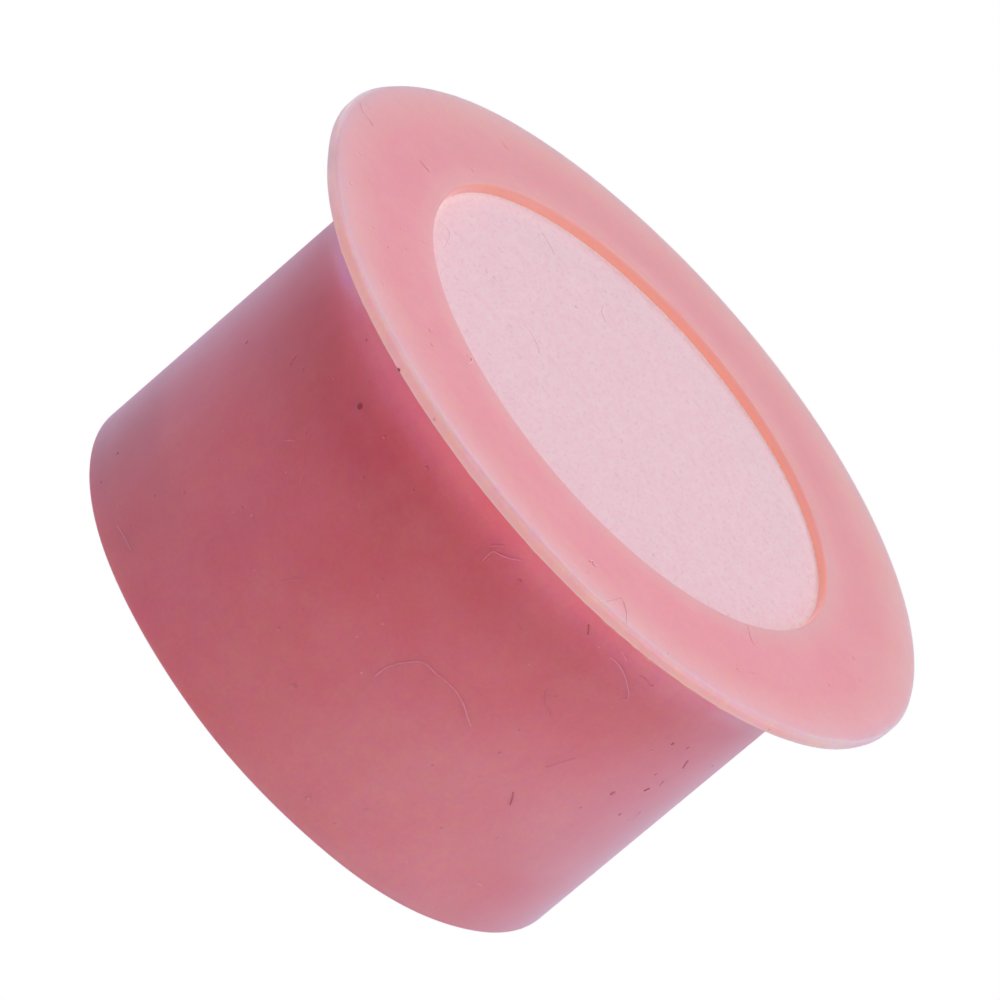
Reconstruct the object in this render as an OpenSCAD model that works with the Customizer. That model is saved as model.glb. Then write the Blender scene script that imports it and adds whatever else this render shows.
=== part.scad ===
// Flanged silicone stopper with a matte vent disc let into its top.
// It stands on its base: the origin is the centre of the base, and +Z is the stopper's axis.
// All sizes are in millimetres and all angles in degrees.

/* [Flange] */
// Outer diameter of the flange
flange_d = 30; // [27:0.1:40]
// Thickness of the flange at its rim
rim_t = 0.47; // [0.4:0.01:1.5]
// Height that the flange's face rises from the rim to the lip of the recess
face_rise = 0.12; // [0:0.01:0.6]
// Radius of the rim's top edge
rim_edge_r = 0.18; // [0.05:0.01:0.3]
// Radius of the fillet between the flange's underside and the plug
root_fillet_r = 0.6; // [0.2:0.05:1.2]

/* [Plug] */
// Diameter of the plug where it leaves the flange
plug_d = 24.3; // [22:0.1:25.5]
// Length of the plug below the flange
plug_len = 15.13; // [6:0.01:30]
// Draft angle of the plug's side, which narrows it towards the base
plug_draft = 0; // [0:0.05:4]
// Radius of the base's edge
base_edge_r = 0.15; // [0.05:0.01:1]

/* [Recess and disc] */
// Diameter of the recess in the flange's face
recess_d = 20.08; // [12:0.02:21.5]
// Depth of the disc's face below the lip of the recess
disc_drop = 0.4; // [0.2:0.01:1.5]
// Radius of the lip's edge
lip_edge_r = 0.12; // [0.05:0.01:0.19]
// Thickness of the disc
disc_t = 1; // [0.4:0.05:3]
// Clearance all round between the disc and the wall of the recess
disc_fit = 0.02; // [0.01:0.01:0.1]
// Radius of the disc's top edge
disc_edge_r = 0.06; // [0.02:0.01:0.15]

/* [Hidden] */
$fn = 180;

silicone_pink = [0.86, 0.53, 0.56];
disc_pink = [0.90, 0.79, 0.82];

// How far a web runs past the corner's edges, and how far its arc cuts into them
overlap = 0.05;
bite = 0.0002;

up = 90;
left = 180;
down = 270;
right = 360;

flange_r = flange_d / 2;
plug_r = plug_d / 2;
base_r = plug_r - plug_len * tan(plug_draft);
recess_r = recess_d / 2;
disc_r = recess_r - disc_fit;

rim_z = plug_len + rim_t;
lip_z = rim_z + face_rise;
face_slope = atan2(face_rise, flange_r - recess_r);
disc_top_z = lip_z - disc_drop;
floor_z = disc_top_z - disc_t;

function heading(angle) = [cos(angle), sin(angle)];

// The web between a corner and the arc that rounds it: cut away, it rounds an outer corner, and added, it
// fills an inner one. The two edges leave the corner at angle_a and at angle_b, which is the larger.
module corner_web(corner, angle_a, angle_b, r) {
    half = (angle_b - angle_a) / 2;
    middle = (angle_a + angle_b) / 2;
    centre = corner + r / sin(half) * heading(middle);
    tip = corner - overlap / sin(half) * heading(middle);
    reach = (r + overlap) / tan(half);
    difference() {
        polygon([tip, tip + reach * heading(angle_a), centre, tip + reach * heading(angle_b)]);
        translate(centre) circle(r + bite);
    }
}

// Half of the stopper's section with sharp corners: plug, flange, face and recess.
module sharp_section() {
    polygon([
        [0, 0],
        [base_r, 0],
        [plug_r, plug_len],
        [flange_r, plug_len],
        [flange_r, rim_z],
        [recess_r, lip_z],
        [recess_r, floor_z],
        [0, floor_z]
    ]);
}

// The same half section with its edges rounded and the root of the flange filled.
module stopper_section() {
    difference() {
        sharp_section();
        corner_web([base_r, 0], up - plug_draft, left, base_edge_r);
        corner_web([flange_r, rim_z], left - face_slope, down, rim_edge_r);
        corner_web([recess_r, lip_z], down, right - face_slope, lip_edge_r);
    }
    corner_web([plug_r, plug_len], down - plug_draft, right, root_fillet_r);
}

// Half of the disc's section, with its top edge rounded.
module disc_section() {
    difference() {
        translate([0, floor_z]) square([disc_r, disc_t]);
        corner_web([disc_r, disc_top_z], left, down, disc_edge_r);
    }
}

// One moulding: the plug, its thin flange and the shallow recess.
module stopper() {
    color(silicone_pink) rotate_extrude() stopper_section();
}

// The porous disc that lies on the floor of the recess.
module vent_disc() {
    color(disc_pink) rotate_extrude() disc_section();
}

stopper();
vent_disc();
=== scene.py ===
import math

import bpy
from mathutils import Matrix, Vector


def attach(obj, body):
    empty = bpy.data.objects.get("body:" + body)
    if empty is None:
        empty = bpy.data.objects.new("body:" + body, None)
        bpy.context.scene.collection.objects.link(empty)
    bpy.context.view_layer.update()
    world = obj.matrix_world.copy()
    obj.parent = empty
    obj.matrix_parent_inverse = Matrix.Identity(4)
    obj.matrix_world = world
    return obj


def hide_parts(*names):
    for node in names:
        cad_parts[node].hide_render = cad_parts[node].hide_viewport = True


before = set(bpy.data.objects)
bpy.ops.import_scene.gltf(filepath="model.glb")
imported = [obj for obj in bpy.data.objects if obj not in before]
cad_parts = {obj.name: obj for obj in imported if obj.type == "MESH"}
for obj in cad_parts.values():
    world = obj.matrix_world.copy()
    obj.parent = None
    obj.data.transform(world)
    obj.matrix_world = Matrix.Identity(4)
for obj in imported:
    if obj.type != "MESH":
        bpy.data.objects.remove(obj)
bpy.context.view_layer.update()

MM = 0.001
MM_PER_METRE = 1000.0

# ---------------------------------------------------------------- sizes

# Radii and heights, in metres
FLANGE_R = 15.00 * MM
PLUG_R = 12.15 * MM
RECESS_R = 10.04 * MM
DISC_R = 10.06 * MM
UNDERSIDE_Z = 15.13 * MM
RIM_Z = 15.60 * MM
LIP_Z = 15.77 * MM
DISC_TOP_Z = 15.355 * MM
RECESS_FLOOR_Z = 14.32 * MM

# How far each edge is rounded, in metres
BASE_EDGE_R = 0.10 * MM
ROOT_FILLET_R = 0.6 * MM
LOWER_RIM_R = 0.04 * MM
UPPER_RIM_R = 0.18 * MM
LIP_EDGE_R = 0.14 * MM

# The face's rise for each metre inwards, and the steps in a full turn
FACE_SLOPE = 0.035
TURN_STEPS = 720

# How far the moulding and the disc are out of true: millimetres, then radians, then a stretch
RIM_OFF = 0.04
BASE_DROP = 0.025
BASE_TILT = -0.00146
DISC_TILT = 0.0033
RECESS_STRETCH = 1.0045

# The edges that are out of true, by their millimetres out and up
FLANGE_EDGE = (15.0, 15.4)
LOWER_EDGE = (15.0, 15.13)
BASE_EDGE = (12.15, 0.0)
DISC_TOP_EDGE = (10.06, 15.36)

# The surfaces that dust lies on, by their millimetres out or up
SIDE_OUT = 12.15
RIM_OUT = 15.0
FACE_UP = 15.66

# Nicks on the flange's lower edge: degrees round, millimetres out
FLASH = [
    (-136, 0.03), (-126, 0.02), (-109, -0.02), (-97, 0.02), (-84, 0.02), (-74.2, 0.03),
    (-69.8, 0.04), (-67.5, 0.03), (-64.5, 0.03), (-62, 0.04), (-54.8, 0.03), (-48, 0.03),
]

# Where the thin flange is a hair out of true: degrees round, then millimetres of reach, out and up
WAVES = [
    (163, 5.5, -0.06, 0), (-158, 5.5, -0.08, 0), (178, 2.6, 0.05, 0), (18, 4.5, -0.035, 0),
    (-9, 3.4, -0.055, 0), (-18, 3.1, -0.02, 0), (-106, 8, 0, 0.03), (118, 9, 0, -0.03),
    (-56, 6.5, 0, -0.02), (62, 7.5, 0, 0.02), (-168, 2.2, 0.03, 0), (-160, 1.8, -0.02, 0),
]

# The same for the base's edge and for the disc's
BASE_WAVES = [(-51, 4.5, 0.07, -0.015), (-114, 5.0, -0.02, 0.03)]
DISC_WAVES = [(54, 4.0, 0, 0.025), (114, 3.5, 0, -0.022), (163, 3.0, 0, 0.04)]


# ---------------------------------------------------------------- modelling helpers

def deselect_all():
    bpy.ops.object.select_all(action="DESELECT")


def add_plane(name):
    """A small plane, in edit mode and selected, for another shape to start from."""
    deselect_all()
    bpy.ops.mesh.primitive_plane_add(size=MM)
    piece = bpy.context.active_object
    piece.name = name
    piece.data.name = name
    bpy.ops.object.mode_set(mode="EDIT")
    bpy.ops.mesh.select_mode(type="VERT")
    bpy.ops.mesh.select_all(action="SELECT")
    return piece


def start_profile(name, first_point):
    """One vertex at first_point, in edit mode, ready to be drawn out into a profile."""
    piece = add_plane(name)
    bpy.ops.mesh.merge(type="CENTER")
    bpy.ops.transform.translate(value=first_point)
    return piece


def draw_profile(points):
    """Draws the profile on from the selected vertex, one straight step at a time."""
    for start, end in zip(points, points[1:]):
        step = Vector(end) - Vector(start)
        bpy.ops.mesh.extrude_region_move(TRANSFORM_OT_translate={"value": step})


def select_vertices(piece, wanted):
    """Selects, in edit mode, the vertices for which wanted(position) is true."""
    bpy.ops.mesh.select_all(action="DESELECT")
    bpy.ops.object.mode_set(mode="OBJECT")
    for vertex in piece.data.vertices:
        vertex.select = wanted(vertex.co)
    bpy.ops.object.mode_set(mode="EDIT")


def round_corner(piece, corner, radius, segments):
    """Rounds the profile's corner at that place."""
    near = 0.02 * MM
    select_vertices(piece, lambda co: (co - Vector(corner)).length < near)
    bpy.ops.mesh.bevel(offset=radius, segments=segments, affect="VERTICES", clamp_overlap=False)


def turn_profile():
    """Spins the profile round the stopper's axis and closes it."""
    bpy.ops.mesh.select_all(action="SELECT")
    bpy.ops.mesh.spin(steps=TURN_STEPS, angle=math.tau, center=(0, 0, 0), axis=(0, 0, 1))
    bpy.ops.mesh.select_all(action="SELECT")
    bpy.ops.mesh.remove_doubles(threshold=0.002 * MM)
    bpy.ops.mesh.select_all(action="SELECT")
    bpy.ops.mesh.normals_make_consistent(inside=False)


def smooth(piece, degrees):
    """Smooth shading, with an edge where the faces turn by more than that angle."""
    bpy.ops.object.mode_set(mode="OBJECT")
    deselect_all()
    piece.select_set(True)
    bpy.context.view_layer.objects.active = piece
    bpy.ops.object.shade_smooth_by_angle(angle=math.radians(degrees))


def at(radius, height):
    """A point of a profile, which is drawn in the plane of X and Z."""
    return (radius, 0.0, height)


def around(azimuth, radius, height):
    """A place by its degrees round the axis, and its millimetres out and up."""
    turn = math.radians(azimuth)
    return Vector((math.cos(turn) * radius, math.sin(turn) * radius, height)) * MM


def pull_edge(piece, waves, radius, height):
    """Pulls a round edge softly out of true: each wave has its place, reach, and way out and up."""
    hold = 0.6 * MM
    for azimuth, reach, out, up in waves:
        edge = around(azimuth, radius, height)
        select_vertices(piece, lambda co: (co - edge).length < hold)
        bpy.ops.transform.translate(
            value=around(azimuth, out, up), use_proportional_edit=True,
            proportional_edit_falloff="SMOOTH", proportional_size=reach * MM,
            use_proportional_connected=True)


def stretch_recess(piece):
    """The recess and its disc are a hair wider from left to right."""
    past_lip = 10.4 * MM
    under_floor = 14 * MM
    select_vertices(piece, lambda co: co.xy.length < past_lip and co.z > under_floor)
    bpy.ops.transform.resize(value=(RECESS_STRETCH, 1, 1), center_override=(0, 0, 0))


# ---------------------------------------------------------------- the silicone moulding

def moulding_profile():
    """The moulding's half section, from the base's middle round to the recess floor's middle."""
    base = [at(radius * MM, 0) for radius in (0, 4, 8)]
    side = [at(PLUG_R, height * MM) for height in (0, 2, 4, 6, 8, 10, 12)]
    under = [at(PLUG_R, UNDERSIDE_Z), at(FLANGE_R - 0.7 * MM, UNDERSIDE_Z)]
    rim = [at(FLANGE_R, UNDERSIDE_Z), at(FLANGE_R, RIM_Z)]
    face = [at(radius * MM, RIM_Z + (15 - radius) * FACE_SLOPE * MM) for radius in (14, 13, 12, 11)]
    wall = [at(RECESS_R, LIP_Z), at(RECESS_R, RECESS_FLOOR_Z)]
    floor = [at(5 * MM, RECESS_FLOOR_Z), at(0, RECESS_FLOOR_Z)]
    return base + side + under + rim + face + wall + floor


def round_moulding(piece):
    """Rounds the profile's corners, from the base up to the lip of the recess."""
    round_corner(piece, at(PLUG_R, 0), BASE_EDGE_R, 4)
    round_corner(piece, at(PLUG_R, UNDERSIDE_Z), ROOT_FILLET_R, 6)
    round_corner(piece, at(FLANGE_R, UNDERSIDE_Z), LOWER_RIM_R, 3)
    round_corner(piece, at(FLANGE_R, RIM_Z), UPPER_RIM_R, 8)
    round_corner(piece, at(RECESS_R, LIP_Z), LIP_EDGE_R, 8)


def shift_flange(piece):
    """The flange's edge sits a hair off the plug's axis."""
    edge_from = 14.2 * MM
    select_vertices(piece, lambda co: co.xy.length > edge_from)
    bpy.ops.transform.translate(value=(RIM_OFF * MM, 0, 0))


def settle_base(piece):
    """The base is a hair out of square, and lowest at the front right."""
    base_up_to = 0.3 * MM
    select_vertices(piece, lambda co: co.z < base_up_to)
    bpy.ops.transform.rotate(value=BASE_TILT, orient_axis="X", center_override=(0, 0, 0))
    bpy.ops.transform.rotate(value=BASE_TILT, orient_axis="Y", center_override=(0, 0, 0))
    bpy.ops.transform.translate(value=(0, 0, -BASE_DROP * MM))


def trim_flange(piece):
    """The trimmed lower edge of the flange: slightly rough, with a few nicks of flash."""
    edge_from = 14.9 * MM
    edge_up_to = UNDERSIDE_Z + 0.05 * MM
    select_vertices(piece, lambda co: co.xy.length > edge_from and co.z < edge_up_to)
    bpy.ops.transform.vertex_random(offset=0.008 * MM, seed=3)
    for azimuth, out in FLASH:
        pull_nick(piece, azimuth, out)


def pull_nick(piece, azimuth, out):
    """One nick: a short stretch of the flange's lower edge, moved out or in, and down."""
    reach = 0.16 * MM
    up_to = 15.2 * MM
    droop = 0.7
    place = around(azimuth, *LOWER_EDGE)
    select_vertices(piece, lambda co: (co - place).length < reach and co.z < up_to)
    bpy.ops.transform.translate(value=around(azimuth, out, -droop * abs(out)))


def make_moulding():
    """The plug with its flange and its recess, as one piece."""
    corners = moulding_profile()
    piece = start_profile("silicone_moulding", corners[0])
    draw_profile(corners)
    round_moulding(piece)
    turn_profile()
    shift_flange(piece)
    pull_edge(piece, WAVES, *FLANGE_EDGE)
    stretch_recess(piece)
    settle_base(piece)
    pull_edge(piece, BASE_WAVES, *BASE_EDGE)
    trim_flange(piece)
    smooth(piece, 50)
    return piece


# ---------------------------------------------------------------- the vent disc

def disc_profile():
    """The disc's half section; a ring just inside its edge keeps the top flat there."""
    foot = RECESS_FLOOR_Z + 0.02 * MM
    edge = [at(0, foot), at(DISC_R, foot), at(DISC_R, DISC_TOP_Z)]
    top = [at(DISC_R - 0.2 * MM, DISC_TOP_Z), at(5 * MM, DISC_TOP_Z), at(0, DISC_TOP_Z)]
    return edge + top


def roughen_disc(piece):
    """The upper edge of the disc is a little ragged."""
    edge_from = 9.9 * MM
    top_from = 15.3 * MM
    select_vertices(piece, lambda co: co.xy.length > edge_from and co.z > top_from)
    bpy.ops.transform.vertex_random(offset=0.014 * MM, seed=5)


def make_disc():
    """The disc in the recess, which lies a hair askew."""
    corners = disc_profile()
    piece = start_profile("porous_disc", corners[0])
    draw_profile(corners)
    turn_profile()
    roughen_disc(piece)
    stretch_recess(piece)
    select_vertices(piece, lambda co: True)
    bpy.ops.transform.rotate(value=DISC_TILT, orient_axis="Y", center_override=(0, 0, DISC_TOP_Z))
    pull_edge(piece, DISC_WAVES, *DISC_TOP_EDGE)
    smooth(piece, 50)
    return piece


# ---------------------------------------------------------------- dust and lint

def on_side(marks):
    """Places on the plug's side, from (degrees round, millimetres up)."""
    return [around(azimuth, SIDE_OUT, height) for azimuth, height in marks]


def on_rim(marks):
    """Places on the flange's outer wall, from (degrees round, millimetres up)."""
    return [around(azimuth, RIM_OUT, height) for azimuth, height in marks]


def on_top(marks):
    """Places on the face or the disc, from (degrees round, millimetres out)."""
    return [around(azimuth, radius, FACE_UP) for azimuth, radius in marks]


def touch(ground, place):
    """The nearest place on the ground's surface, and the way the surface faces there."""
    _, spot, normal, _ = ground.closest_point_on_mesh(place)
    return spot, normal


def grain_size(size, count, seed):
    """A size that goes up and down by a quarter from grain to grain."""
    return size * (0.75 + 0.5 * ((count * 7 + seed) % 11) / 10)


def make_specks_piece(name, ground, places, size, seed):
    """Small flat grains that lie on the ground, as one piece."""
    flattened = (1, 1, 0.35)
    unevenness = 0.08
    piece = add_plane(name)
    bpy.ops.mesh.delete(type="VERT")
    for count, place in enumerate(places):
        grain = grain_size(size, count, seed)
        spot, facing = touch(ground, place)
        turn = facing.to_track_quat("Z", "Y").to_euler()
        bpy.ops.mesh.primitive_ico_sphere_add(
            subdivisions=2, radius=grain / 2, location=spot, rotation=turn, scale=flattened)
        bpy.ops.transform.vertex_random(offset=unevenness * grain, seed=seed + count)
    smooth(piece, 180)
    return piece


def fibre_points(ground, path, thickness):
    """The middle line of a fibre that is sunk nearly halfway into the ground's surface."""
    lifted = 0.1
    points = []
    for place in path:
        spot, facing = touch(ground, place)
        points.append(spot + facing * lifted * thickness)
    return points


def make_fibre(name, ground, path, thickness):
    """One fine fibre that lies on the ground along the path."""
    points = fibre_points(ground, path, thickness)
    start_profile(name, points[0])
    draw_profile(points)
    bpy.ops.object.mode_set(mode="OBJECT")
    bpy.ops.object.convert(target="CURVE")
    bpy.ops.object.mode_set(mode="EDIT")
    bpy.ops.curve.select_all(action="SELECT")
    bpy.ops.curve.spline_type_set(type="BEZIER")
    bpy.ops.curve.handle_type_set(type="AUTOMATIC")
    bpy.ops.object.mode_set(mode="OBJECT")
    strand = bpy.context.active_object
    strand.data.bevel_depth = thickness / 2
    strand.data.bevel_resolution = 1
    strand.data.resolution_u = 4
    strand.data.use_fill_caps = True
    bpy.ops.object.convert(target="MESH")
    return bpy.context.active_object


def make_fibres(name, ground, paths, thickness):
    """Fine fibres that lie on the ground, as one piece."""
    strands = [make_fibre(name + "_strand", ground, path, thickness) for path in paths]
    deselect_all()
    for strand in strands:
        strand.select_set(True)
    bpy.context.view_layer.objects.active = strands[0]
    bpy.ops.object.join()
    piece = bpy.context.active_object
    piece.name = name
    piece.data.name = name
    bpy.ops.object.mode_set(mode="EDIT")
    bpy.ops.mesh.select_all(action="SELECT")
    bpy.ops.mesh.normals_make_consistent(inside=False)
    smooth(piece, 60)
    return piece


# Dust on the side and the rim: degrees round the axis, millimetres up
SMALL_DARK_SPECKS = [
    (-135, 10.4), (-130.5, 13.2), (-123.5, 12.6), (-124, 9.5), (-110.5, 10.6), (-135.5, 2.8),
    (-131.5, 4.0), (-121, 5.9), (-132, 5.8), (-152, 8.2), (-103, 11.9), (-148.5, 0.6),
    (-152.5, 1.5), (-65, 5.3), (-57.5, 6.1), (-58.5, 7.3), (-54.5, 3.5), (-66.5, 2.3),
    (-60, 10.4), (-50, 7.9), (-75, 1.1), (-44.5, 4.3), (-59.5, 8.5), (-80, 12.8), (-95, 8.9),
    (-100, 5.8), (-100, 4.6), (-97, 4.9), (-29, 11.1), (-29, 9.5), (-14, 10.2), (-104.5, 12.8),
    (-36.5, 7.0), (-36, 10.5),
]
DARK_SPECKS = [(-33.5, 11.1)]
SOFT_SPECKS = [(-33.5, 8.1), (-91, 3.7), (-26, 7.2)]
SMUDGE = [(-121, 11.85)]
PALE_SPECKS = [
    (-144, 6.0), (-136.5, 6.4), (-113.5, 12.1), (-120.5, 8.1), (-107, 9.9), (-125, 3.1),
    (-121.5, 5.5), (-118.5, 6.1), (-139.5, 1.2), (-110.5, 5.1), (-85.5, 6.0), (-62, 13.0),
    (-93.5, 8.4), (-90.5, 6.8), (-54, 1.6),
]
PALE_SIDE_FIBRES = [
    [(-83.5, 6.3), (-83.5, 6.7), (-83, 7.1), (-82, 7.5), (-80, 8.0), (-77.5, 8.05), (-74.5, 8.1),
     (-72, 8.05), (-69.5, 7.85), (-67.5, 7.6), (-66, 7.45)],
    [(-87.6, 12.9), (-87, 13.1), (-86, 13.3)],
    [(-58.5, 13.4), (-57.4, 13.3), (-56.4, 13.2)],
    [(-125.5, 8.6), (-124.7, 8.85), (-123.9, 9.0)],
    [(-117.3, 8.4), (-118, 8.55)],
]
BRIGHT_SIDE_FIBRES = [
    [(-59, 12.95), (-57, 12.9), (-54.5, 12.7), (-52, 12.35), (-50.5, 12.1), (-50.2, 11.95),
     (-50.7, 11.8)],
    [(-86.6, 12.3), (-86.7, 12.6), (-86.6, 12.85), (-85.6, 12.95), (-84.3, 13.1), (-82.5, 13.4)],
    [(-21.4, 6.9), (-20.9, 7.1), (-21, 7.5)],
    [(-136, 0.9), (-133.8, 1.0), (-131.6, 1.05), (-129.5, 1.1)],
    [(-39, 2.2), (-37.7, 2.2)],
]
DARK_SIDE_FIBRES = [
    [(-62.1, 10.4), (-60.6, 10.0), (-58.3, 9.8), (-57.6, 9.7)],
    [(-52.2, 13.0), (-50.4, 13.0), (-48.9, 12.9), (-48.7, 13.0)],
    [(-74.8, 11.6), (-73.1, 11.5)],
    [(-69, 1.0), (-68.3, 1.1)],
]
FAINT_SIDE_FIBRES = [
    [(-49.8, 7.9), (-48.5, 8.4), (-47.3, 8.8)],
    [(-138.7, 10.3), (-138, 9.9)],
    [(-24.6, 9.0), (-25.2, 9.3)],
    [(-105.9, 5.7), (-104.7, 6.2), (-103.6, 6.5)],
]
SOFT_SIDE_DASHES = [[(-24.1, 10.1), (-25.2, 10.5)]]
DARK_SIDE_DASHES = [
    [(-66.4, 13.4), (-65.8, 13.25), (-65.1, 13.1)],
    [(-27.2, 8.6), (-26.6, 8.8)],
    [(-48.7, 5.8), (-49.6, 6.1), (-50.5, 6.3)],
]
RIM_SPECKS = [(-106, 15.3), (-38, 15.3)]
DARK_RIM_SPECK = [(-114.7, 15.14)]

# Dust on the face and the disc: degrees round the axis, millimetres out
FACE_SPECKS = [
    (-163, 13.8), (-157, 13.3), (-152, 14.2), (-144, 13.3), (-149.5, 11.8), (-141, 12.7),
    (-144, 11.7), (-123, 12.2), (-119.5, 12.6), (-76, 14.0), (-59.5, 14.7), (-62.5, 14.6),
    (-25.5, 12.3), (3, 12.2), (-1, 12.9), (-17, 13.6), (-13.5, 12.6), (-179, 11.2),
]
PALE_FACE_SPECKS = [(163.5, 13.6)]
FACE_FIBRES = [
    [(-177.3, 14.7), (-175.6, 14.4), (-175.4, 14.1), (-174.4, 13.8)],
    [(-177.3, 14.7), (-179.0, 14.35)],
    [(163, 10.9), (163, 10.7)],
    [(144, 13.0), (143, 12.7)],
    [(-130.5, 14.0), (-129.7, 13.9)],
    [(-150.3, 10.8), (-150.5, 10.5)],
    [(-72.7, 14.98), (-71.5, 14.5), (-70.2, 14.0), (-69.1, 13.7), (-68.1, 14.05), (-67.8, 14.5),
     (-67.7, 14.9)],
    [(-32.8, 10.25), (-33, 10.5), (-33.7, 10.9), (-33.1, 11.1), (-31.1, 10.9)],
    [(-43, 12.9), (-42.2, 12.95), (-41.4, 12.8)],
    [(-40.4, 12.8), (-39, 12.7), (-37.8, 12.7)],
]
THICK_FACE_FIBRES = [
    [(-179, 11.75), (-179.2, 11.5), (-179, 11.25)],
    [(-118.9, 10.6), (-118.5, 10.4), (-117.6, 10.5), (-116.8, 10.9)],
    [(-76.2, 13.2), (-75.6, 13.05), (-75.3, 13.2), (-74.7, 13.1)],
]
DISC_FIBRES = [
    [(-170.5, 9.75), (-170.6, 9.5), (-170, 9.2), (-168.1, 9.1), (-165.4, 9.1), (-161, 9.2)],
    [(141.4, 8.95), (140.3, 8.5), (140, 7.9)],
    [(123.6, 7.7), (120.8, 7.8), (119.7, 7.6)],
    [(122.4, 6.5), (124.1, 5.8), (123, 5.45)],
    [(-155.3, 5.5), (-157.4, 4.9), (-152.7, 4.6), (-145.8, 4.4)],
]
DISC_SPECKS = [
    (141, 5.2), (-169.5, 7.2), (-170.5, 6.8), (-126.5, 7.95), (156.5, 8.9), (-57, 8.35),
    (-40, 7.9), (24.5, 5.4), (18.5, 9.6), (-19, 8.8), (-145, 4.4),
]


# ---------------------------------------------------------------- material helpers

def tone(red, green, blue):
    """A colour by its 0 to 255 screen values, as the linear colour that a node takes."""
    linear = []
    for value in (red, green, blue):
        share = value / 255
        if share <= 0.04045:
            linear.append(share / 12.92)
        else:
            linear.append(((share + 0.055) / 1.055) ** 2.4)
    return (*linear, 1.0)


class Wiring:
    """Adds nodes to one tree and links them."""

    def __init__(self, tree):
        self.tree = tree

    def add(self, kind, **settings):
        """Adds a node of that kind, with those settings."""
        made = self.tree.nodes.new("ShaderNode" + kind)
        for name, value in settings.items():
            setattr(made, name, value)
        return made

    def put(self, socket, value):
        """Links a socket to the value, or sets the value on it."""
        if isinstance(value, bpy.types.NodeSocket):
            self.tree.links.new(value, socket)
        else:
            socket.default_value = value

    def math(self, operation, first, second=0.0):
        """One sum, of two values or of the first alone."""
        made = self.add("Math", operation=operation)
        self.put(made.inputs[0], first)
        self.put(made.inputs[1], second)
        return made.outputs[0]

    def plus(self, first, second):
        return self.math("ADD", first, second)

    def minus(self, first, second):
        return self.math("SUBTRACT", first, second)

    def times(self, first, second):
        """The product; of two masks, where both hold."""
        return self.math("MULTIPLY", first, second)

    def span(self, value, low, high, to_low=0.0, to_high=1.0, smooth=True):
        """Maps the value from low..high to to_low..to_high, and holds it at the ends."""
        made = self.add("MapRange", interpolation_type="SMOOTHSTEP" if smooth else "LINEAR")
        self.put(made.inputs["Value"], value)
        self.put(made.inputs["From Min"], low)
        self.put(made.inputs["From Max"], high)
        self.put(made.inputs["To Min"], to_low)
        self.put(made.inputs["To Max"], to_high)
        return made.outputs["Result"]

    def mix(self, share, under, over, blend="MIX"):
        """The colour under, giving way to the one over it by that share."""
        made = self.add("Mix", data_type="RGBA", blend_type=blend)
        self.put(made.inputs[0], share)
        self.put(made.inputs[6], under)
        self.put(made.inputs[7], over)
        return made.outputs[2]

    def tint(self, share, colour, change):
        """The colour, multiplied by the change by that share."""
        return self.mix(share, colour, change, "MULTIPLY")

    def ramp(self, value, stops):
        """A colour ramp with the stops (place, colour), in rising order."""
        made = self.add("ValToRGB")
        made.color_ramp.interpolation = "LINEAR"
        elements = made.color_ramp.elements
        while len(elements) < len(stops):
            elements.new(0.5)
        for element, (place, colour) in zip(elements, stops):
            element.position = place
            element.color = colour
        self.put(made.inputs["Fac"], value)
        return made.outputs["Color"]

    def noise(self, vector, size, detail=2.0, roughness=0.5):
        """Noise whose blotches are about that size, in metres."""
        made = self.add("TexNoise")
        self.put(made.inputs["Vector"], vector)
        self.put(made.inputs["Scale"], self.math("DIVIDE", 1.0, size))
        self.put(made.inputs["Detail"], detail)
        self.put(made.inputs["Roughness"], roughness)
        return made.outputs["Fac"]

    def group(self, tree, **values):
        """Places a shared effect with its own values."""
        made = self.add("Group", node_tree=tree)
        for name, value in values.items():
            self.put(made.inputs[name], value)
        return made.outputs


def new_group(name, takes, gives):
    """A node group with named inputs (name, kind, default) and outputs (name, kind)."""
    tree = bpy.data.node_groups.new(name, "ShaderNodeTree")
    for label, kind, default in takes:
        socket = tree.interface.new_socket(label, in_out="INPUT", socket_type="NodeSocket" + kind)
        if default is not None:
            socket.default_value = default
    for label, kind in gives:
        tree.interface.new_socket(label, in_out="OUTPUT", socket_type="NodeSocket" + kind)
    start = tree.nodes.new("NodeGroupInput")
    end = tree.nodes.new("NodeGroupOutput")
    return tree, Wiring(tree), start.outputs, end.inputs


def new_material(name):
    """A material, its wiring, its shader, and the place on the piece that its patterns follow."""
    material = bpy.data.materials.new(name)
    material.cycles.emission_sampling = "NONE"
    material.use_nodes = True
    wiring = Wiring(material.node_tree)
    shader = material.node_tree.nodes["Principled BSDF"]
    place = wiring.add("TexCoord").outputs["Object"]
    return material, wiring, shader, place


# ---------------------------------------------------------------- shared effects

# Hues of the warmer and the cooler patches of a mottle
WARMER = (1.0, 1.06, 0.95, 1.0)
COOLER = (1.0, 0.95, 1.06, 1.0)


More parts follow.
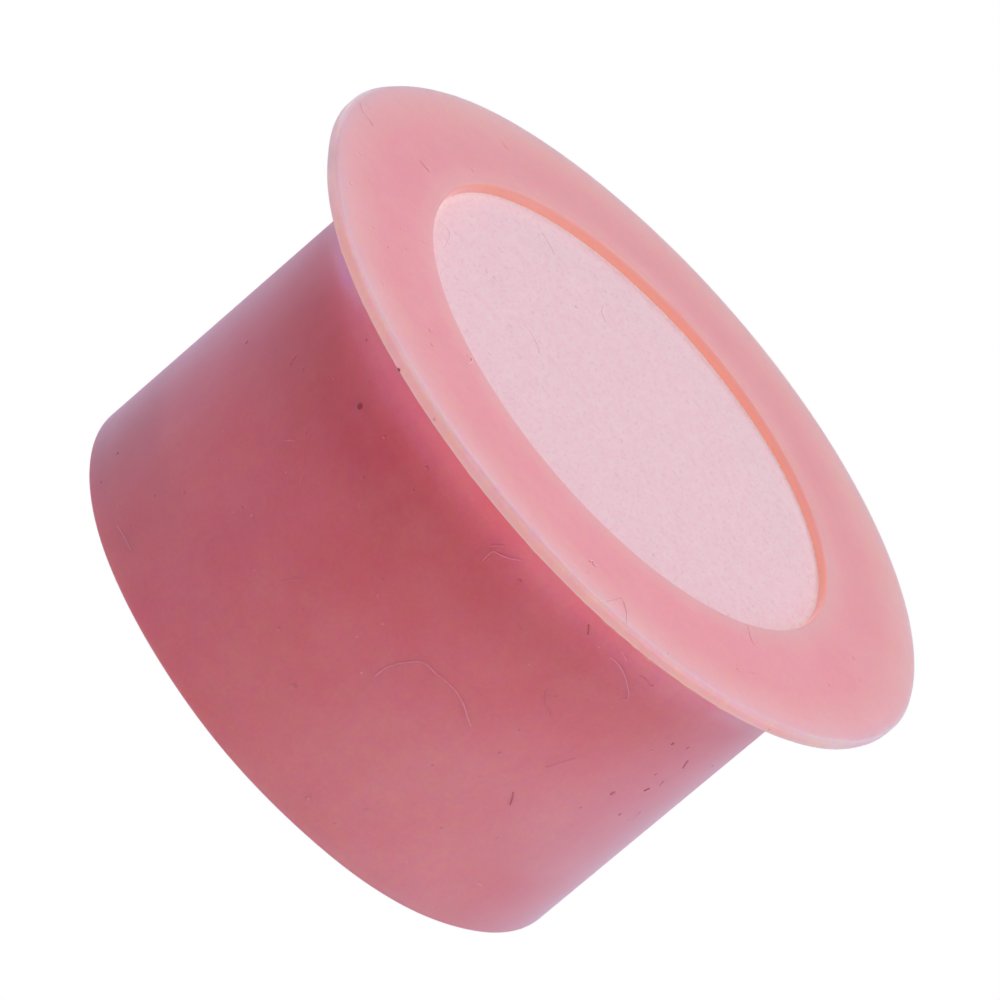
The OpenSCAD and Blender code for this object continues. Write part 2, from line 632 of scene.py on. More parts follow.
def make_ring_place():
    """How far out and how high a point is, in millimetres, and its side and back, -1 to 1."""
    takes = [("Place", "Vector", None)]
    gives = [("Radius", "Float"), ("Height", "Float"), ("Side", "Float"), ("Back", "Float")]
    tree, wiring, start, end = new_group("ring_place", takes, gives)
    apart = wiring.add("SeparateXYZ")
    wiring.put(apart.inputs[0], start["Place"])
    flat = wiring.add("CombineXYZ")
    wiring.put(flat.inputs["X"], apart.outputs["X"])
    wiring.put(flat.inputs["Y"], apart.outputs["Y"])
    length = wiring.add("VectorMath", operation="LENGTH")
    wiring.put(length.inputs[0], flat.outputs[0])
    out = length.outputs["Value"]
    wiring.put(end["Radius"], wiring.times(out, MM_PER_METRE))
    wiring.put(end["Height"], wiring.times(apart.outputs["Z"], MM_PER_METRE))
    wiring.put(end["Side"], wiring.math("DIVIDE", apart.outputs["X"], out))
    wiring.put(end["Back"], wiring.math("DIVIDE", apart.outputs["Y"], out))
    return tree


def make_tone_drift():
    """Slow, cloudy changes of tone, as a moulding has; darker clouds are richer in colour."""
    takes = [("Place", "Vector", None), ("Colour", "Color", None),
             ("Size", "Float", 4 * MM), ("Strength", "Float", 0.05)]
    tree, wiring, start, end = new_group("tone_drift", takes, [("Colour", "Color")])
    broad = wiring.noise(start["Place"], start["Size"], 3.0)
    fine = wiring.noise(start["Place"], wiring.times(start["Size"], 0.2), 2.0)
    both = wiring.plus(wiring.times(broad, 0.7), wiring.times(fine, 0.3))
    change = wiring.times(wiring.minus(both, 0.5), start["Strength"])
    drift = wiring.add("HueSaturation")
    wiring.put(drift.inputs["Color"], start["Colour"])
    wiring.put(drift.inputs["Value"], wiring.plus(1.0, change))
    wiring.put(drift.inputs["Saturation"], wiring.minus(1.0, wiring.times(change, 2.0)))
    wiring.put(end["Colour"], drift.outputs["Color"])
    return tree


def make_mottle():
    """Small warmer and cooler patches, and a finer unevenness in them."""
    takes = [("Place", "Vector", None), ("Colour", "Color", None),
             ("Size", "Float", 0.6 * MM), ("Hue", "Float", 0.5), ("Depth", "Float", 0.05),
             ("Warmer", "Color", WARMER), ("Cooler", "Color", COOLER)]
    tree, wiring, start, end = new_group("mottle", takes, [("Colour", "Color")])
    patches = wiring.noise(start["Place"], start["Size"], 3.0, 0.6)
    hue = wiring.mix(wiring.span(patches, 0.35, 0.65), start["Warmer"], start["Cooler"])
    tinted = wiring.tint(start["Hue"], start["Colour"], hue)
    fine = wiring.noise(start["Place"], wiring.times(start["Size"], 0.3), 2.0, 0.6)
    change = wiring.times(wiring.minus(fine, 0.5), start["Depth"])
    drift = wiring.add("HueSaturation")
    wiring.put(drift.inputs["Color"], tinted)
    wiring.put(drift.inputs["Value"], wiring.plus(1.0, change))
    wiring.put(end["Colour"], drift.outputs["Color"])
    return tree


def make_specks():
    """Scattered small specks: a mask that is 1 on each."""
    takes = [("Place", "Vector", None), ("Spacing", "Float", 1.5 * MM),
             ("Share", "Float", 0.3), ("Size", "Float", 0.05)]
    tree, wiring, start, end = new_group("specks", takes, [("Mask", "Float")])
    place = ragged_place(wiring, start["Place"])
    cells = wiring.add("TexVoronoi")
    wiring.put(cells.inputs["Vector"], place)
    wiring.put(cells.inputs["Scale"], wiring.math("DIVIDE", 1.0, start["Spacing"]))
    lot = wiring.add("SeparateColor")
    wiring.put(lot.inputs[0], cells.outputs["Color"])
    chosen = wiring.math("LESS_THAN", lot.outputs[0], start["Share"])
    reach = wiring.times(start["Size"], wiring.plus(0.5, lot.outputs[1]))
    inside = wiring.span(cells.outputs["Distance"], reach, wiring.times(reach, 0.5))
    wiring.put(end["Mask"], wiring.times(inside, chosen))
    return tree


def ragged_place(wiring, place):
    """The place, moved a little to and fro, so that a speck there isn't round."""
    waves_per_metre = 9000.0
    step_size = 0.1 * MM
    warp = wiring.add("TexNoise")
    wiring.put(warp.inputs["Vector"], place)
    wiring.put(warp.inputs["Scale"], waves_per_metre)
    step = wiring.add("VectorMath", operation="SCALE")
    wiring.put(step.inputs[0], warp.outputs["Color"])
    wiring.put(step.inputs["Scale"], step_size)
    moved = wiring.add("VectorMath", operation="ADD")
    wiring.put(moved.inputs[0], place)
    wiring.put(moved.inputs[1], step.outputs[0])
    return moved.outputs[0]


def make_grain():
    """The height of a fine moulded grain."""
    takes = [("Place", "Vector", None), ("Size", "Float", 0.1 * MM)]
    tree, wiring, start, end = new_group("grain", takes, [("Height", "Float")])
    fine = wiring.noise(start["Place"], start["Size"], 3.0, 0.6)
    broad = wiring.noise(start["Place"], wiring.times(start["Size"], 8.0), 2.0)
    wiring.put(end["Height"], wiring.plus(wiring.times(fine, 0.6), wiring.times(broad, 0.4)))
    return tree


def make_effects():
    """The effects that the materials share, each built once."""
    return {
        "ring_place": make_ring_place(),
        "tone_drift": make_tone_drift(),
        "mottle": make_mottle(),
        "specks": make_specks(),
        "grain": make_grain(),
    }


def drifting(effects, wiring, place, colour, size, strength):
    """The colour with cloudy changes of tone of that size, in millimetres."""
    drift = wiring.group(effects["tone_drift"], Place=place, Colour=colour, Size=size * MM,
                         Strength=strength)
    return drift["Colour"]


def mottled(effects, wiring, place, colour, size, **strengths):
    """The colour with warmer and cooler patches of that size, in millimetres."""
    mottle = wiring.group(effects["mottle"], Place=place, Colour=colour, Size=size * MM,
                          **strengths)
    return mottle["Colour"]


def strewn(effects, wiring, place, colour, dust, strength, spacing, share, size):
    """The colour with small specks of dust, which lie about the spacing's millimetres apart."""
    specks = wiring.group(effects["specks"], Place=place, Spacing=spacing * MM, Share=share,
                          Size=size)
    return wiring.mix(wiring.times(specks["Mask"], strength), colour, dust)


def add_grain(effects, wiring, shader, place, size, strength, depth):
    """A fine grain in the surface, by its size and depth in millimetres."""
    bump = wiring.add("Bump")
    grain = wiring.group(effects["grain"], Place=place, Size=size * MM)
    wiring.put(bump.inputs["Height"], grain["Height"])
    wiring.put(bump.inputs["Strength"], strength)
    wiring.put(bump.inputs["Distance"], depth * MM)
    wiring.put(shader.inputs["Normal"], bump.outputs["Normal"])


def powder_bloom(shader):
    """The faint lilac bloom of a dusted surface, seen along its turning edges."""
    shader.inputs["Sheen Weight"].default_value = 0.95
    shader.inputs["Sheen Roughness"].default_value = 0.5
    shader.inputs["Sheen Tint"].default_value = (0.90, 0.70, 1.0, 1.0)


# ---------------------------------------------------------------- colours and tones

RIM_LINE = tone(249, 188, 187)
# The foot of the flange's rim, orange-red as a painted glow of light through the flange
RIM_UNDER = tone(240, 112, 98)
# The recess's wall: a dark orange under its painted glow, the two together standing in for light
# through the lip
WALL_ORANGE = tone(144, 90, 84)
DUST = tone(236, 205, 208)
DIRT = tone(120, 62, 72)
DISC_PINK = tone(249, 206, 210)
# The disc's paler tone: painted light at its edge beside the recess's wall, and also a patch tone
# of the dust on the disc
DISC_EDGE = tone(252, 226, 224)
DISC_POWDER = tone(246, 222, 228)
DISC_PITS = tone(200, 158, 174)

# Changes that a tone is multiplied by: RIM_TIPS and CREST_LIGHT are painted highlights,
# CORNER_SHADE is painted shade, WALL_LEFT makes the wall's painted glow less red at the left, and
# DISC_FAR paints the disc's far half as it is lit
RIM_TIPS = (1.0, 1.30, 1.18, 1.0)
CREST_LIGHT = (1.09, 1.24, 1.23, 1.0)
CORNER_SHADE = (0.75, 0.28, 0.28, 1.0)
WALL_LEFT = (0.93, 1.0, 1.0, 1.0)
DISC_FAR = (0.94, 1.0, 0.98, 1.0)
DISC_WARMER = (1.0, 1.045, 1.025, 1.0)
DISC_COOLER = (1.0, 0.96, 0.985, 1.0)

# The light that the flange throws on the side near its two tips, left and right
STRIP_LEFT = (1.05, 1.95, 2.10, 1.0)
STRIP_RIGHT = (1.01, 1.50, 1.48, 1.0)

# Light that comes through the silicone and the disc's edge
NO_GLOW = (0.0, 0.0, 0.0, 1.0)
FLANGE_GLOW = (0.06, 0.013, 0.013, 1.0)
SEAM_GLOW = (0.095, 0.011, 0.009, 1.0)
RIM_GLOW = (0.06, 0.003, 0.003, 1.0)
RIM_LEFT_GLOW = (0.14, 0.010, 0.004, 1.0)
WALL_GLOW = (0.50, 0.21, 0.20, 1.0)
WALL_DEEP_GLOW = (0.65, 0.225, 0.165, 1.0)
WALL_TIP_GLOW = (0.575, 0.165, 0.03, 1.0)
DISC_GLOW = (0.01, 0.03, 0.03, 1.0)
DISC_RIM_GLOW = (0.14, 0.04, 0.035, 1.0)

# Dust and lint on the silicone: the silicone's tone there, with its painted light and shade, made
# darker or paler by red, green and blue
SILICONE_DUST = {
    "pale_lint": (1.09, 1.32, 1.34),
    "bright_lint": (1.16, 1.95, 2.05),
    "faint_dust": (0.95, 0.94, 0.93),
    "soft_dust": (0.85, 0.79, 0.79),
    "dark_dust": (0.62, 0.48, 0.49),
    "rim_dust": (0.30, 0.17, 0.18),
    "smudge": (0.58, 0.42, 0.34),
    "pale_dust": (1.14, 1.36, 1.42),
    "faint_lint": (1.02, 1.24, 1.24),
    "face_dust": (1.13, 1.50, 1.57),
    "face_lint": (1.22, 1.82, 1.85),
    "thick_lint": (1.20, 1.97, 2.12),
}

# The same on the disc
DISC_DUST = {
    "disc_dust": (0.99, 0.955, 1.02),
    "disc_lint": (1.05, 1.045, 1.11),
}

# Tones of the plug's side, by height in millimetres: darker below the flange as painted shade,
# paler right under it as painted light through the flange, and darker at the very foot
SIDE_TONES = [
    (0.0, tone(206, 120, 136)),
    (0.12, tone(217, 141, 150)),
    (0.6, tone(223, 138, 147)),
    (1.5, tone(228, 136, 145)),
    (3.5, tone(229, 138, 146)),
    (6.0, tone(229, 135, 145)),
    (8.0, tone(228, 127, 138)),
    (9.5, tone(225, 119, 130)),
    (11.0, tone(223, 113, 123)),
    (12.0, tone(224, 112, 123)),
    (12.7, tone(232, 122, 136)),
    (13.1, tone(240, 136, 153)),
    (13.5, tone(250, 147, 163)),
    (14.2, tone(254, 150, 163)),
]

# How the side's tone changes round the plug, by its side, -1 to 1: painted shade that is deepest at
# the left, and a painted sheen near the two tips
SIDE_SHADES = [
    (-1.0, (0.96, 0.88, 0.92, 1)),
    (-0.985, (0.95, 0.69, 0.77, 1)),
    (-0.965, (0.96, 0.58, 0.70, 1)),
    (-0.94, (0.97, 0.515, 0.66, 1)),
    (-0.87, (0.98, 0.53, 0.66, 1)),
    (-0.77, (0.99, 0.59, 0.69, 1)),
    (-0.64, (1, 0.635, 0.735, 1)),
    (-0.5, (1, 0.64, 0.79, 1)),
    (-0.34, (1, 0.70, 0.80, 1)),
    (-0.17, (0.99, 0.72, 0.76, 1)),
    (0.0, (1, 0.78, 0.83, 1)),
    (0.17, (1, 0.88, 0.94, 1)),
    (0.34, (1, 0.945, 0.97, 1)),
    (0.5, (1, 0.98, 1.01, 1)),
    (0.64, (1, 0.965, 1, 1)),
    (0.77, (1, 0.975, 0.98, 1)),
    (0.87, (1, 0.90, 0.97, 1)),
    (0.94, (1, 0.96, 1, 1)),
    (0.96, (1, 1.12, 1.06, 1)),
    (0.98, (1.01, 1.35, 1.16, 1)),
    (1.0, (1.04, 1.62, 1.32, 1)),
]

# The same for the strip below the flange, which takes a lilac light at the left
UPPER_SHADES = [
    (-1.0, (1.05, 1.30, 1.36, 1)),
    (-0.87, (1.05, 1.32, 1.42, 1)),
    (-0.77, (1.04, 1.30, 1.34, 1)),
    (-0.64, (1.03, 1.14, 1.18, 1)),
    (-0.34, (1, 1.10, 1.12, 1)),
    (-0.1, (1, 1.04, 1.02, 1)),
    (0.17, (0.99, 0.90, 0.92, 1)),
    (0.4, (0.99, 0.93, 0.95, 1)),
    (0.64, (1, 0.98, 1.03, 1)),
    (0.77, (1, 1.05, 1.12, 1)),
    (0.87, (1, 1.15, 1.18, 1)),
    (1.0, (1, 1.15, 1.15, 1)),
]

# Patches where the side is darker or paler, the darker ones at the left below the flange and in the
# low corners being painted shade: from and to by its side, from and to in millimetres up, and the
# change
PATCHES = [
    (-0.93, -0.60, 9.2, 12.0, (0.95, 0.86, 0.87, 1)),
    (-0.60, -0.15, 9.6, 11.2, (0.97, 0.93, 0.94, 1)),
    (-0.90, -0.55, 3.8, 7.8, (1.05, 1.00, 1.00, 1)),
    (-0.55, 0.0, 0.8, 3.6, (1.01, 1.09, 1.10, 1)),
    (0.20, 0.60, 10.8, 12.2, (1.00, 1.08, 1.07, 1)),
    (0.60, 0.90, 10.0, 12.9, (1.00, 1.09, 1.04, 1)),
    (0.75, 1.05, -1.0, 3.2, (0.99, 0.82, 0.80, 1)),
    (0.95, 1.20, -1.0, 6.4, (1.00, 0.86, 0.88, 1)),
    (0.90, 1.20, -1.0, 0.9, (1.00, 0.88, 0.89, 1)),
    (-1.20, -0.72, -1.0, 0.7, (0.97, 0.86, 0.85, 1)),
    (-0.96, -0.84, 10.4, 12.2, (0.97, 0.50, 0.56, 1)),
]

# Tones of the flange's face, by radius in millimetres: paler over the thin outer flange and beside
# the lip as painted light through the silicone, and palest at the crest as a painted highlight
FACE_TONES = [
    (10.1, tone(243, 149, 151)),
    (10.3, tone(243, 150, 147)),
    (10.7, tone(241, 141, 139)),
    (11.1, tone(239, 131, 134)),
    (11.8, tone(235, 128, 131)),
    (12.9, tone(233, 129, 132)),
    (13.5, tone(233, 139, 136)),
    (14.0, tone(233, 147, 145)),
    (14.35, tone(232, 154, 155)),
    (14.6, tone(227, 158, 161)),
    (14.75, tone(224, 160, 167)),
    (14.86, tone(226, 167, 179)),
    (14.95, tone(232, 176, 189)),
]

# How the face's tone changes on the far side, by radius in millimetres, as painted light on the far
# half
FAR_TINTS = [
    (10.1, (0.885, 0.935, 0.86, 1)),
    (10.35, (0.94, 0.94, 0.80, 1)),
    (10.6, (0.99, 1.05, 0.94, 1)),
    (12.0, (0.97, 1.095, 0.905, 1)),
    (13.2, (1.01, 1.18, 0.975, 1)),
    (14.0, (1.0, 1.18, 0.995, 1)),
    (14.5, (1.0, 1.18, 1.01, 1)),
    (14.8, (1.05, 1.27, 1.12, 1)),
]

# Tones of the flange's outer wall, by its side, -1 to 1: paler than the silicone and palest at the
# left, as painted light through the thin flange
WALL_TONES = [
    (-1.0, tone(255, 206, 207)),
    (-0.85, tone(255, 209, 206)),
    (-0.79, tone(255, 199, 200)),
    (-0.74, tone(255, 193, 196)),
    (-0.5, tone(255, 193, 198)),
    (0.3, tone(251, 180, 183)),
    (1.0, tone(251, 181, 184)),
]

# What the tables of tones run over: heights and radii in millimetres, and sides
SIDE_HEIGHTS = (0.0, 16.0)
FACE_RADII = (10.0, 15.0)
LEFT_TO_RIGHT = (-1.0, 1.0)

# Where one tone gives way to the next: from and to, by height in millimetres
UPPER_STRIP = (12.4, 13.0)
STRIP_FOOT = (11.05, 11.85)
CORNER_TOP = (4.7, 3.0)
CORNER_FOOT = (1.2, 0.5)
FLANGE_BOTTOM = (14.9, 15.2)
RIM_CREST = (15.58, 15.46)
RIM_LINE_TOP = (15.23, 15.19)
RIM_FOOT = (15.165, 15.145)
WALL_BOTTOM = (15.0, 15.2)
GLOW_CEILING = (15.0, 14.6)
GLOW_FLOOR = (13.2, 14.0)
SEAM_FLOOR = (13.80, 13.92)
RIM_GLOW_TOP = (15.53, 15.42)
WALL_DEPTH = (15.76, 15.46)

# The same by radius in millimetres
FLANGE_SHIFTS = (12.0, 14.2)
FLANGE_OUTER = (14.94, 14.985)
RIM_FOOT_OUT = (14.90, 14.94)
RIM_TIPS_OUT = (14.82, 14.90)
LEFT_CREST_OUT = (14.86, 14.94)
RIM_GLOW_OUT = (14.84, 14.95)
SIDE_INWARDS = (12.9, 12.4)
WALL_INWARDS = (10.17, 10.06)
DISC_MARGIN = (9.65, 10.0)
DISC_RIM = (9.95, 10.02)
DISC_OUTWARDS = (6.0, 9.2)

# The same by side, from -1 at the left to 1 at the right
MIDDLE = (-0.1, 0.1)
LEFT_TIP = (-0.66, -0.86)
RIGHT_TIP = (0.80, 0.92)
CORNER_LEFT = (-0.78, -0.97)
CREST_LEFT = (-0.05, -0.35)
CREST_LEFT_END = (-0.985, -0.95)
CREST_RISES = (0.0, -0.4)
RIM_GLOW_LEFT = (0.0, -0.8)
WALL_TO_LEFT = (0.1, -0.4)

# The same by side, left and right alike, from 0 in the middle to 1 at the tips
RIM_AT_TIPS = (0.80, 0.96)
WALL_AT_TIPS = (0.78, 1.04)

# The same by back, from -1 at the front to 1 at the back
FACE_BACK = (-0.3, 0.8)
DISC_BACK = (0.0, 0.8)
TONES_DRAW_IN = (-0.02, 0.55)


# ---------------------------------------------------------------- the silicone's tones

def tones_along(wiring, value, reach, stops):
    """The tones of the stops, spread over the value's reach, (low, high)."""
    low, high = reach
    along = wiring.span(value, low, high, smooth=False)
    return wiring.ramp(along, [((mark - low) / (high - low), colour) for mark, colour in stops])


def window(wiring, value, low, high, soft):
    """A mask that is 1 from low to high and fades out beyond them over that much."""
    rising = wiring.span(value, low - soft, low + soft)
    return wiring.times(rising, wiring.span(value, high + soft, high - soft))


def tipward(wiring, ring):
    """How near a point is to the left or the right tip, 0 to 1."""
    return wiring.math("ABSOLUTE", ring["Side"])


def rim_radius(wiring, ring):
    """The radius, measured near the rim from the flange's own centre."""
    off = wiring.span(ring["Radius"], *FLANGE_SHIFTS, 0.0, RIM_OFF)
    return wiring.minus(ring["Radius"], wiring.times(ring["Side"], off))


def recess_radius(wiring, ring):
    """The radius, less the recess's stretch from left to right."""
    stretched = 0.045
    stretch = wiring.times(wiring.times(ring["Side"], ring["Side"]), stretched)
    return wiring.minus(ring["Radius"], stretch)


def crest_height(wiring, ring):
    """The height, less what the rim's crest is higher at the left."""
    higher = 0.07
    return wiring.minus(ring["Height"], wiring.span(ring["Side"], *CREST_RISES, 0.0, higher))


def side_for_tones(wiring, ring):
    """The side that the tones go by; the tones of the two tips end sooner on the far half."""
    drawn_in = 0.86
    return wiring.times(ring["Side"], wiring.span(ring["Back"], *TONES_DRAW_IN, 1.0, drawn_in))


def under_flange(wiring, ring, side):
    """A mask of the strip that takes the flange's light; its foot is lowest at the tips."""
    rounding = 0.02
    steepness = 2.75
    squared = wiring.plus(wiring.times(ring["Back"], ring["Back"]), rounding)
    from_tip = wiring.minus(wiring.math("SQRT", squared), rounding)
    lift = wiring.times(from_tip, steepness)
    strip = wiring.span(wiring.minus(ring["Height"], lift), *STRIP_FOOT)
    tips = wiring.plus(wiring.span(side, *LEFT_TIP), wiring.span(side, *RIGHT_TIP))
    return wiring.times(strip, tips)


def low_corner(wiring, height, side):
    """A mask of the painted shade in the low corner at the far left of the side."""
    broad = wiring.times(wiring.span(height, *CORNER_TOP), 0.8)
    foot = wiring.times(wiring.span(height, *CORNER_FOOT), 0.2)
    return wiring.times(wiring.span(side, *CORNER_LEFT), wiring.plus(broad, foot))


def add_patches(wiring, height, side, colour):
    """The side's tone with its darker and paler patches, some of them painted shade."""
    fade_round = 0.1
    fade_up = 0.7
    for left, right, low, high, change in PATCHES:
        across = window(wiring, side, left, right, fade_round)
        along = window(wiring, height, low, high, fade_up)
        colour = wiring.tint(wiring.times(across, along), colour, change)
    return colour


def side_colour(wiring, ring):
    """The tone of the plug's side, by height and round the plug, with its painted shade and light.
    """
    height = ring["Height"]
    side = side_for_tones(wiring, ring)
    colour = tones_along(wiring, height, SIDE_HEIGHTS, SIDE_TONES)
    colour = wiring.tint(1.0, colour, tones_along(wiring, side, LEFT_TO_RIGHT, SIDE_SHADES))
    upper = tones_along(wiring, side, LEFT_TO_RIGHT, UPPER_SHADES)
    colour = wiring.tint(wiring.span(height, *UPPER_STRIP), colour, upper)
    colour = add_patches(wiring, height, side, colour)
    strip = wiring.mix(wiring.span(side, *MIDDLE), STRIP_LEFT, STRIP_RIGHT)
    colour = wiring.tint(under_flange(wiring, ring, side), colour, strip)
    return wiring.tint(low_corner(wiring, height, side), colour, CORNER_SHADE)


def recess_wall(wiring, ring):
    """A mask that is 1 on the recess's wall and fades out over the round of its lip."""
    inside = wiring.span(recess_radius(wiring, ring), *WALL_INWARDS)
    return wiring.times(inside, wiring.span(ring["Height"], *WALL_BOTTOM))


def left_crest(wiring, ring, radius):
    """A mask of the painted highlight on the rim's crest at the left, which is paler than
    elsewhere.
    """
    left = wiring.span(ring["Side"], *CREST_LEFT)
    left = wiring.times(left, wiring.span(ring["Side"], *CREST_LEFT_END))
    return wiring.times(wiring.span(radius, *LEFT_CREST_OUT), left)


def face_colour(wiring, ring, radius):
    """The tone of the flange's face, with painted light on its far half and on the crest at the
    left, which turns orange down the recess's wall as painted light through the lip.
    """
    face = tones_along(wiring, radius, FACE_RADII, FACE_TONES)
    far = tones_along(wiring, radius, FACE_RADII, FAR_TINTS)
    face = wiring.tint(wiring.span(ring["Back"], *FACE_BACK), face, far)
    face = wiring.mix(recess_wall(wiring, ring), face, WALL_ORANGE)
    return wiring.tint(left_crest(wiring, ring, radius), face, CREST_LIGHT)


def add_rim(wiring, ring, radius, colour):
    """The moulding's tone with the flange's outer wall, its pale line, its tips and its foot: the
    wall pale as painted light, the tips with a painted highlight, the foot with a painted glow.
    """
    height = ring["Height"]
    outer = wiring.span(radius, *FLANGE_OUTER)
    wall = tones_along(wiring, ring["Side"], LEFT_TO_RIGHT, WALL_TONES)
    below_crest = wiring.span(crest_height(wiring, ring), *RIM_CREST)
    colour = wiring.mix(wiring.times(outer, below_crest), colour, wall)
    line = wiring.times(outer, wiring.span(height, *RIM_LINE_TOP))
    colour = wiring.mix(line, colour, RIM_LINE)
    tips = wiring.span(tipward(wiring, ring), *RIM_AT_TIPS)
    tips = wiring.times(tips, wiring.span(radius, *RIM_TIPS_OUT))
    colour = wiring.tint(tips, colour, RIM_TIPS)
    foot = wiring.times(wiring.span(radius, *RIM_FOOT_OUT), wiring.span(height, *RIM_FOOT))
    return wiring.mix(foot, colour, RIM_UNDER)


def silicone_colour(wiring, ring):
    """The moulding's tone at each place: side, face and rim, with painted light and shade in it."""
    radius = rim_radius(wiring, ring)
    side = side_colour(wiring, ring)
    face = face_colour(wiring, ring, radius)
    colour = wiring.mix(wiring.span(ring["Height"], *FLANGE_BOTTOM), side, face)
    return add_rim(wiring, ring, radius, colour)


# ---------------------------------------------------------------- light through the silicone

def side_glow(wiring, ring):
    """Light through the flange on the side below it, and more of it in the seam."""
    height = ring["Height"]
    side = wiring.span(ring["Radius"], *SIDE_INWARDS)
    side = wiring.times(side, wiring.span(height, *GLOW_CEILING))
    below = wiring.times(side, wiring.span(height, *GLOW_FLOOR))
    seam = wiring.times(side, wiring.span(height, *SEAM_FLOOR))
    return wiring.mix(below, NO_GLOW, wiring.mix(seam, FLANGE_GLOW, SEAM_GLOW))


def add_rim_glow(wiring, ring, glow):
    """The glow with that of the flange's rim, which is strongest at the left."""
    rim = wiring.span(rim_radius(wiring, ring), *RIM_GLOW_OUT)
    rim = wiring.times(rim, wiring.span(crest_height(wiring, ring), *RIM_GLOW_TOP))
    left = wiring.span(ring["Side"], *RIM_GLOW_LEFT)
    return wiring.mix(rim, glow, wiring.mix(left, RIM_GLOW, RIM_LEFT_GLOW))


def wall_glow(wiring, ring):
    """Light in the recess's wall, which is warmer lower down and at the two tips."""
    glow = wiring.mix(wiring.span(ring["Height"], *WALL_DEPTH), WALL_GLOW, WALL_DEEP_GLOW)
    tips = wiring.span(tipward(wiring, ring), *WALL_AT_TIPS)
    glow = wiring.mix(tips, glow, WALL_TIP_GLOW)
    return wiring.tint(wiring.span(ring["Side"], *WALL_TO_LEFT), glow, WALL_LEFT)


def silicone_glow(wiring, ring):
    """Light through the thin flange: on the side below it, in its rim and in the recess's wall."""
    glow = add_rim_glow(wiring, ring, side_glow(wiring, ring))
    return wiring.mix(recess_wall(wiring, ring), glow, wall_glow(wiring, ring))


# ---------------------------------------------------------------- materials

def silicone_material(effects):
    """The pink silicone: satin, translucent, and lightly dusted."""
    material, wiring, shader, place = new_material("pink_silicone")
    ring = wiring.group(effects["ring_place"], Place=place)
    colour = silicone_colour(wiring, ring)
    colour = drifting(effects, wiring, place, colour, size=3, strength=0.10)
    colour = mottled(effects, wiring, place, colour, size=0.5, Hue=0.75, Depth=0.12)
    colour = strewn(effects, wiring, place, colour, DUST, strength=0.35, spacing=1.1,
                    share=0.35, size=0.035)
    colour = strewn(effects, wiring, place, colour, DIRT, strength=0.28, spacing=1.7,
                    share=0.30, size=0.030)
    wiring.put(shader.inputs["Base Color"], colour)
    wiring.put(shader.inputs["Emission Color"], silicone_glow(wiring, ring))
    shader.inputs["Emission Strength"].default_value = 1.0
    satin = wiring.noise(place, 0.6 * MM, 2.0)
    wiring.put(shader.inputs["Roughness"], wiring.span(satin, 0.3, 0.7, 0.46, 0.54))
    add_grain(effects, wiring, shader, place, size=0.06, strength=0.25, depth=0.01)
    shader.inputs["Subsurface Weight"].default_value = 1.0
    shader.inputs["Subsurface Radius"].default_value = (1.0, 0.4, 0.3)
    shader.inputs["Subsurface Scale"].default_value = 2.0 * MM
    powder_bloom(shader)
    return material


def longer_grains(wiring, place):
    """The place for grains that are twice as long from front to back as they are wide."""
    longer = wiring.add("Mapping")
    wiring.put(longer.inputs["Vector"], place)
    wiring.put(longer.inputs["Scale"], (1.0, 0.5, 1.0))
    return longer.outputs["Vector"]


def disc_colour(effects, wiring, ring, grains, powder):
    """The disc's tone: paler at its edge and changed on its far half as painted light, cloudy,
    powdery and full of small pits.
    """
    radius = recess_radius(wiring, ring)
    colour = wiring.mix(wiring.span(radius, *DISC_MARGIN), DISC_PINK, DISC_EDGE)
    far = wiring.span(ring["Back"], *DISC_BACK)
    far = wiring.times(far, wiring.span(radius, *DISC_OUTWARDS))
    colour = wiring.tint(far, colour, DISC_FAR)
    colour = drifting(effects, wiring, grains, colour, size=0.6, strength=0.08)
    colour = wiring.mix(wiring.span(powder, 0.35, 0.75, 0.0, 0.10), colour, DISC_POWDER)
    pits = wiring.noise(grains, 0.16 * MM, 3.0)
    colour = wiring.mix(wiring.span(pits, 0.54, 0.75, 0.0, 0.26), colour, DISC_PITS)
    return mottled(effects, wiring, grains, colour, size=0.32, Hue=1.0, Depth=0.10,
                   Warmer=DISC_WARMER, Cooler=DISC_COOLER)


def disc_glow(wiring, ring):
    """Light that comes up through the disc near its edge."""
    radius = recess_radius(wiring, ring)
    glow = wiring.mix(wiring.span(radius, *DISC_MARGIN), NO_GLOW, DISC_GLOW)
    return wiring.mix(wiring.span(radius, *DISC_RIM), glow, DISC_RIM_GLOW)


def disc_material(effects):
    """The pale, matte, fine-grained disc."""
    material, wiring, shader, place = new_material("pale_porous_disc")
    ring = wiring.group(effects["ring_place"], Place=place)
    grains = longer_grains(wiring, place)
    powder = wiring.noise(grains, 0.06 * MM, 2.0)
    colour = disc_colour(effects, wiring, ring, grains, powder)
    wiring.put(shader.inputs["Base Color"], colour)
    wiring.put(shader.inputs["Roughness"], wiring.span(powder, 0.3, 0.7, 0.85, 0.95))
    wiring.put(shader.inputs["Emission Color"], disc_glow(wiring, ring))
    shader.inputs["Emission Strength"].default_value = 1.0
    add_grain(effects, wiring, shader, grains, size=0.07, strength=0.3, depth=0.02)
    powder_bloom(shader)
    return material


def dust_finish(effects, wiring, shader, place, colour):
    """The uneven, dull surface of a grain or a fibre of that colour."""
    uneven = wiring.noise(place, 0.3 * MM, 2.0)
    colour = drifting(effects, wiring, place, colour, size=0.1, strength=0.2)
    wiring.put(shader.inputs["Base Color"], colour)
    wiring.put(shader.inputs["Roughness"], wiring.span(uneven, 0.3, 0.7, 0.55, 0.8))
    add_grain(effects, wiring, shader, place, size=0.01, strength=0.3, depth=0.002)
    powder_bloom(shader)


